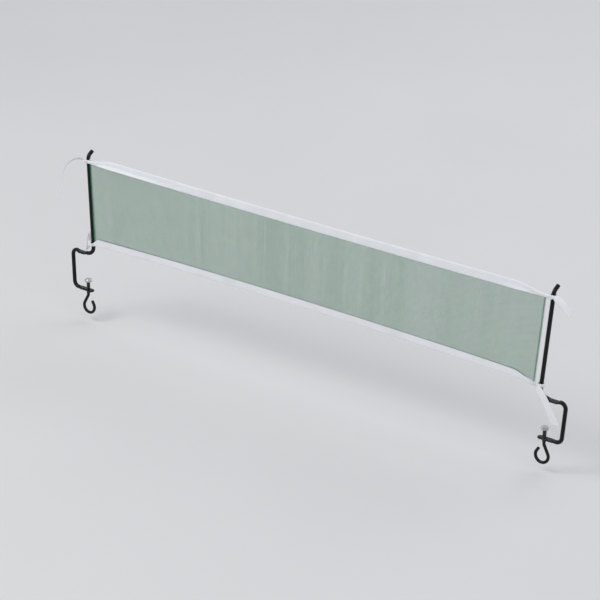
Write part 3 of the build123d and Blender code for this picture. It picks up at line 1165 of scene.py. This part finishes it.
@dataclass
class Net:
    """The green mesh, its two side hems and the tape along its long edges."""

    posts: dict[Side, Post]
    pitch: float = 1.4
    thread_d: float = 0.42
    lay: float = 0.11
    stray: float = 0.14
    middle_y: float = -3.8
    right_gap: float = 7.5
    left_gap: float = 5.2
    hem_w: float = 3.0
    hem_pitch: float = 1.1
    hem_thread_d: float = 0.36
    top_w: float = 11.5
    bottom_w: float = 10.0
    bottom_bow: float = 4.5

    def bands(self) -> tuple[Band, Band]:
        """The upper and the lower tape band, placed from the frame.

        Returns:
            The two bands.
        """
        lowest, highest = (corner.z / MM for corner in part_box("top_band"))
        top = Band(Level.TOP, self.top_w, highest - self.top_w, self.top_w - (highest - lowest),
                   gather=(58.0, 48.0), flare=(2.4, 5.2))
        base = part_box("bottom_band")[1].z / MM - self.bottom_w - self.bottom_bow
        return top, Band(Level.BOTTOM, self.bottom_w, base, self.bottom_bow,
                         gather=(40.0, 14.0), flare=(0.4, 0.4))

    def edges(self, bands: tuple[Band, Band], left: tuple[Side, float],
              right: tuple[Side, float]) -> Mesh:
        """The lower and the upper edge of a sheet of net, inside the bands' folds.

        Args:
            bands: the upper and the lower band.
            left: the sheet's left side: which side of the net it is measured from, and how far inwards.
            right: its right side, in the same way.

        Returns:
            A mesh of two lines, the lower one first.
        """
        lines = []
        for band in reversed(bands):
            ends = []
            for side, inwards in (left, right):
                gap = self.left_gap if side is Side.LEFT else self.right_gap
                ends.append(self.posts[side].tie(band.level)[0] - side.value * (gap + inwards))
            lines.append([])
            for x in np.linspace(*ends, 200):
                low, high, _, _ = band.section(x, self.posts)
                lines[-1].append((x, self.middle_y, (low + high) / 2))
        return line_mesh("net_edges", lines)

    def build(self, trees: Trees, finishes: Finishes) -> None:
        """Build the mesh, its hems, its bands and their stitching.

        Args:
            trees: the Geometry Nodes trees by name.
            finishes: the material of each slot.
        """
        bands = self.bands()
        green = finishes[Slot.NET]
        inset = self.hem_w / 2
        spread = self.edges(bands, (Side.LEFT, inset), (Side.RIGHT, inset))
        low, high = np.split(np.array([v.co for v in spread.vertices]) / MM, 2)
        wide, tall = float(np.ptp(high[:, 0])), float((high[:, 2] - low[:, 2]).mean())
        mesh = bake("woven_net", trees["weave"], {
            "Columns": round(wide / self.pitch) + 1, "Rows": round(tall / self.pitch) + 1,
            "Thread": self.thread_d * MM, "Lay": self.lay * MM, "Stray": self.stray * MM,
            "Material": green}, spread)
        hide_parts("net_mesh")
        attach(mesh, ROOT_BODY)
        for side in Side:
            limits = [(side, 0.0), (side, self.hem_w)][::-side.value]
            hem = bake(f"{side.word}_selvage", trees["weave"], {
                "Columns": round(self.hem_w / self.hem_pitch) + 1, "Rows": round(tall / self.hem_pitch) + 1,
                "Thread": self.hem_thread_d * MM, "Lay": self.lay * MM, "Stray": 0.0, "Level Stops": 2,
                "Material": green}, self.edges(bands, *limits))
            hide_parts(f"{side.word}_net_hem")
            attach(hem, ROOT_BODY)
        for band in bands:
            band.build(self.posts, finishes[Slot.TAPE])
            band.stitch(self.posts, trees["stitch"], finishes[Slot.THREAD])
        LOG.info("net: %d faces", len(mesh.data.polygons))


@dataclass
class Knot:
    """Tape gathered to a strand, wound round a post and tied in front of it."""

    post: Post
    level: Level
    rod_r: float = 2.75
    wrap_gap: float = 0.15
    strand: float = 1.05
    stand_off: float = 0.8  # of the strand's middle from the post, as a share of its half width
    turns: float = 1.8
    wrap_pitch: float = 2.1
    knot_y: float = -6.1
    knot_size: tuple[float, float, float] = (1.12, 1.15, 0.66)
    wrap_flat: float = 0.72
    knot_flat: float = 0.9
    around: int = 22
    tape_round: float = 8.0  # the width of cloth shown round the strand

    @staticmethod
    def crease(angle: np.ndarray, share: np.ndarray) -> np.ndarray:
        """The lengthways folds of gathered tape, turning slowly round the strand."""
        return 1 + 0.11 * np.sin(5 * angle + 9 * share) + 0.05 * np.sin(9 * angle - 23 * share)

    def build(self, tape: Material) -> Object:
        """Build the wrap and the overhand knot as one piece.

        Args:
            tape: its finish.

        Returns:
            The knot.
        """
        ring_r = self.rod_r + self.wrap_gap + self.strand * self.stand_off
        turn = np.linspace(-0.25, self.turns - 0.25, 140) * math.tau
        rise = (turn / math.tau + 0.25 - self.turns / 2) * self.wrap_pitch
        wrap = np.stack([ring_r * np.cos(turn), ring_r * np.sin(turn), rise], axis=1)
        t = np.linspace(0, math.tau, 150)
        wide, deep, tall = self.knot_size
        trefoil = np.stack([(np.sin(t) + 2 * np.sin(2 * t)) * wide, self.knot_y - np.sin(3 * t) * deep,
                            (np.cos(t) - 2 * np.cos(2 * t)) * tall], axis=1)
        axes = np.array([self.post.outwards, (0.0, 1.0, 0.0), self.post.along])
        points, faces, uvs = [], [], []
        for local, first, flat in ((wrap, axes[2], self.wrap_flat), (trefoil, axes[1], self.knot_flat)):
            line = self.post.tie(self.level) + (local[:, :, None] * axes).sum(1)
            size = np.full(len(line), self.strand)
            skin, more = sweep(line, first, size, size * flat, self.around, self.crease)
            start = sum(len(p) for p in points)
            faces += [tuple(i + start for i in face) for face in more]
            points.append(skin)
            length = line_length(line)
            along = np.repeat(np.linspace(0, length, len(line)), self.around)
            round_it = np.tile(np.linspace(0, self.tape_round, self.around), len(line))
            uvs.append(np.vstack([np.stack([along, round_it], axis=1), [[0, 0], [length, 0]]]) * MM)
        knot = add_piece(f"{self.post.side.word}_{self.level}_tied_tape", np.vstack(points), faces,
                         np.vstack(uvs))
        point_outwards(knot)
        knot.data.materials.append(tape)
        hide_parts(f"{self.post.side.word}_{self.level}_knot")
        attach(knot, ROOT_BODY)
        return knot


@dataclass
class Tail:
    """A free end of tape past its knot.

    Its route is measured outwards, towards +Y and up from the tie's centre.
    """

    post: Post
    level: Level
    route: list[tuple[float, float, float]]
    facing: list[tuple[float, float, float]]
    slant: float
    curl: float
    tape_w: float = 10.0
    tape_t: float = 0.36
    gathered: float = 0.22
    gather_run: float = 9.0
    pleat: float = 0.7
    flutter: float = 0.22

    def build(self, tape: Material) -> Object:
        """Build the tail as a cupped ribbon.

        Args:
            tape: its finish.

        Returns:
            The tail.
        """
        s = self.post.side.value
        centre = self.post.tie(self.level)
        count, across = 90, 13
        line = smooth_path([(centre[0] + s * x, y, centre[2] + z) for x, y, z in self.route], count)
        length = line_length(line)
        tangent = unit(np.gradient(line, axis=0))
        wide = smooth_path([(s * x, y, z) for x, y, z in self.facing], count)
        wide = unit(wide - tangent * (wide * tangent).sum(1, keepdims=True))
        face = np.cross(tangent, wide)
        shares = np.linspace(0, 1, count)
        fullness = blend(self.gathered, 1.0, ease(shares * length, 0.0, self.gather_run))
        points, uvs = [], []
        for i, (share, full) in enumerate(zip(shares, fullness)):
            for v in np.linspace(-0.5, 0.5, across):
                lift = (0.25 - v * v) * self.curl * (0.6 + 0.4 * math.sin(share * 7 + v))
                pleat = (1 - full) * self.pleat * math.sin(v * 22)
                flutter = self.flutter * math.sin(share * 11 + v * 3.0)
                slide = self.slant * v * ease(share, 0.35, 1.0)
                points.append(line[i] + wide[i] * v * self.tape_w * full
                              + face[i] * (lift + pleat + flutter) + tangent[i] * slide)
                uvs.append((share * length * MM, (v + 0.5) * self.tape_w * MM))
        tail = add_piece(f"{self.post.side.word}_{self.level}_tape_end", np.array(points),
                         grid_faces(count, across), np.array(uvs))
        tail.data.materials.append(tape)
        thicken(tail, self.tape_t)
        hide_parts(f"{self.post.side.word}_{self.level}_tail")
        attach(tail, ROOT_BODY)
        return tail


def tails(posts: dict[Side, Post]) -> list[Tail]:
    """The four free ends, each with its own fall.

    Args:
        posts: the two posts.

    Returns:
        The tails.
    """
    right, left = posts[Side.RIGHT], posts[Side.LEFT]
    return [
        Tail(right, Level.TOP, slant=-3.0, curl=3.0, facing=[
            (0.45, 0.15, 0.85), (0.45, 0.25, 0.85), (0.55, 0.3, 0.8)], route=[
            (2.0, -6.0, 0.0), (7.5, -6.4, -0.4), (15.0, -6.8, -3.4), (22.5, -6.6, -8.8),
            (29.5, -5.8, -15.4)]),
        Tail(right, Level.BOTTOM, slant=5.0, curl=2.4, facing=[
            (0.8, 0.1, 0.55), (0.82, 0.1, 0.5), (0.85, 0.25, 0.45)], route=[
            (-1.6, -7.0, 1.5), (1.2, -9.2, -2.2), (9.6, -9.6, -13.0), (19.0, -9.0, -27.5),
            (28.5, -8.2, -44.5)]),
        Tail(left, Level.TOP, slant=1.5, curl=1.2, facing=[
            (0.45, 0.62, -0.6), (0.66, 0.72, -0.12), (0.68, 0.72, 0.0)], route=[
            (1.5, -6.0, 0.5), (7.0, -4.0, 1.4), (22.5, -1.0, -3.2), (38.0, 0.5, -14.2),
            (46.5, 0.5, -30.0), (54.0, 1.0, -69.0)]),
        Tail(left, Level.BOTTOM, slant=-2.0, curl=1.0, facing=[
            (0.2, 0.5, 0.8), (0.2, 1.0, 0.1), (0.1, 1.0, 0.0)], route=[
            (1.5, -5.8, 0.5), (5.6, -1.0, 4.0), (7.2, 4.2, 12.0), (10.6, 5.9, 15.6),
            (13.2, 6.0, 5.0), (15.0, 5.9, -13.0)]),
    ]


@dataclass
class Clamp:
    """One clamp: its rod and its pad kept from the frame, and a new screw."""

    side: Side

    def build(self, trees: Trees, finishes: Finishes, screw_coat: Material) -> None:
        """Dress the kept parts and build the screw.

        Args:
            trees: the Geometry Nodes trees by name.
            finishes: the material of each slot.
            screw_coat: the screw's finish, worn on the thread.
        """
        word = self.side.word
        for node, slot in ((f"{word}_clamp_rod", Slot.ENAMEL), (f"{word}_screw_pad", Slot.STEEL)):
            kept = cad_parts[node]
            kept.data.materials.clear()
            kept.data.materials.append(finishes[slot])
            LOG.info("%s kept from the frame", node)
        screw = ThumbScrew(self.side).build(trees["thread"], screw_coat)
        LOG.info("%s: %d faces", screw.name, len(screw.data.polygons))


# ---- room, lights and camera ----
# Each light's name, its place and its side in metres, its power in watts, and its tint.
LIGHTS = (("key", (-1.3, -1.9, 2.6), 1.4, 42.0, (1.0, 0.985, 0.96)),
          ("fill", (2.6, -1.2, 1.4), 2.0, 12.0, (0.94, 0.96, 1.0)),
          ("rim", (0.4, 2.4, 2.0), 1.8, 18.0, (0.97, 0.98, 1.0)))


@dataclass
class Studio:
    """A pale floor, soft lights and the camera."""

    floor_z: float = -98.5
    camera_at: tuple[float, float, float] = (1872.7, -2590.3, 1363.0)
    aim: tuple[float, float, float] = (-8.0, 0.0, 31.0)
    roll: float = 1.7
    lens: float = 159.0
    sensor: float = 36.0
    sight: tuple[float, float] = (0.05, 50.0)
    floor_reach: float = 6000.0
    floor_dark: Colour = (0.60, 0.60, 0.605, 1.0)
    floor_pale: Colour = (0.64, 0.64, 0.645, 1.0)
    sky: Colour = (0.95, 0.96, 1.0, 1.0)
    sky_strength: float = 0.72

    @staticmethod
    def stand(place: Vector, target: Vector) -> Matrix:
        """The placing of something that stands at one point, in metres, and faces another."""
        facing = (target - place).to_track_quat("-Z", "Y").to_matrix().to_4x4()
        return Matrix.Translation(place) @ facing

    def camera(self) -> None:
        """Set the camera up."""
        data = bpy.data.cameras.new("Camera")
        data.lens, data.sensor_width = self.lens, self.sensor
        data.clip_start, data.clip_end = self.sight
        camera = add_object("Camera", data)
        spin = Matrix.Rotation(math.radians(self.roll), 4, "Z")
        camera.matrix_world = self.stand(Vector(self.camera_at) * MM, Vector(self.aim) * MM) @ spin
        bpy.context.scene.camera = camera

    def light(self, name: str, place: tuple[float, float, float], size: float, power: float,
              colour: tuple[float, float, float]) -> None:
        """Add one soft light that faces the net.

        Args:
            name: the light's name.
            place: where it stands, in metres.
            size: its side, in metres.
            power: its power in watts.
            colour: its tint.
        """
        data = bpy.data.lights.new(name, "AREA")
        data.size, data.energy, data.color = size, power, colour
        add_object(name, data).matrix_world = self.stand(Vector(place), Vector((0.0, 0.0, 0.0)))

    def build(self) -> None:
        """Build the floor, the lights, the surroundings and the camera."""
        far = self.floor_reach
        corners = [(x, y, self.floor_z) for x, y in ((-far, -far), (far, -far), (far, far), (-far, far))]
        floor = add_piece("floor", np.array(corners), [(0, 1, 2, 3)])
        c = Canvas("pale_floor")
        tone = c.noise(c.here["Object"], 3.0, 4.0)
        c.set(Base_Color=c.mix(tone, self.floor_dark, self.floor_pale), Roughness=0.9)
        floor.data.materials.append(c.material)
        for light in LIGHTS:
            self.light(*light)
        world = bpy.data.worlds.new("studio")
        bpy.context.scene.world = world
        world.use_nodes = True
        sky = world.node_tree.nodes["Background"].inputs
        sky["Color"].default_value, sky["Strength"].default_value = self.sky, self.sky_strength
        bpy.context.scene.view_settings.view_transform = "Standard"
        self.camera()


def main() -> None:
    """Build the set in order."""
    logging.basicConfig(level=logging.INFO, format="%(name)s: %(message)s")
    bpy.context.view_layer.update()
    Studio().build()
    effects = Effects()
    finishes = {
        Slot.ENAMEL: BlackEnamel().build("black_enamel", effects),
        Slot.STEEL: PlatedSteel().build("plated_steel", effects),
        Slot.NET: Yarn((0.024, 0.185, 0.088, 1.0), (0.05, 0.28, 0.145, 1.0)).build("net_green", effects),
        Slot.TAPE: WovenTape().build("tape_white", effects),
        Slot.THREAD: Yarn((0.80, 0.80, 0.78, 1.0), (0.9, 0.9, 0.88, 1.0),
                          pitch=0.0007).build("sewing_thread", effects),
    }
    screw_coat = BlackEnamel(wear=0.22, threaded=True).build("black_enamel_threaded", effects)
    trees = {"weave": WeaveTree.build(), "stitch": StitchTree.build(), "thread": ThreadTree.build()}
    posts = {side: Post.read(side) for side in Side}
    for side in Side:
        Clamp(side).build(trees, finishes, screw_coat)
    Net(posts).build(trees, finishes)
    for post in posts.values():
        for level in Level:
            knot = Knot(post, level).build(finishes[Slot.TAPE])
            LOG.info("%s: %d faces", knot.name, len(knot.data.polygons))
    for tail in tails(posts):
        LOG.info("%s: built", tail.build(finishes[Slot.TAPE]).name)


if __name__ == "__main__":
    main()
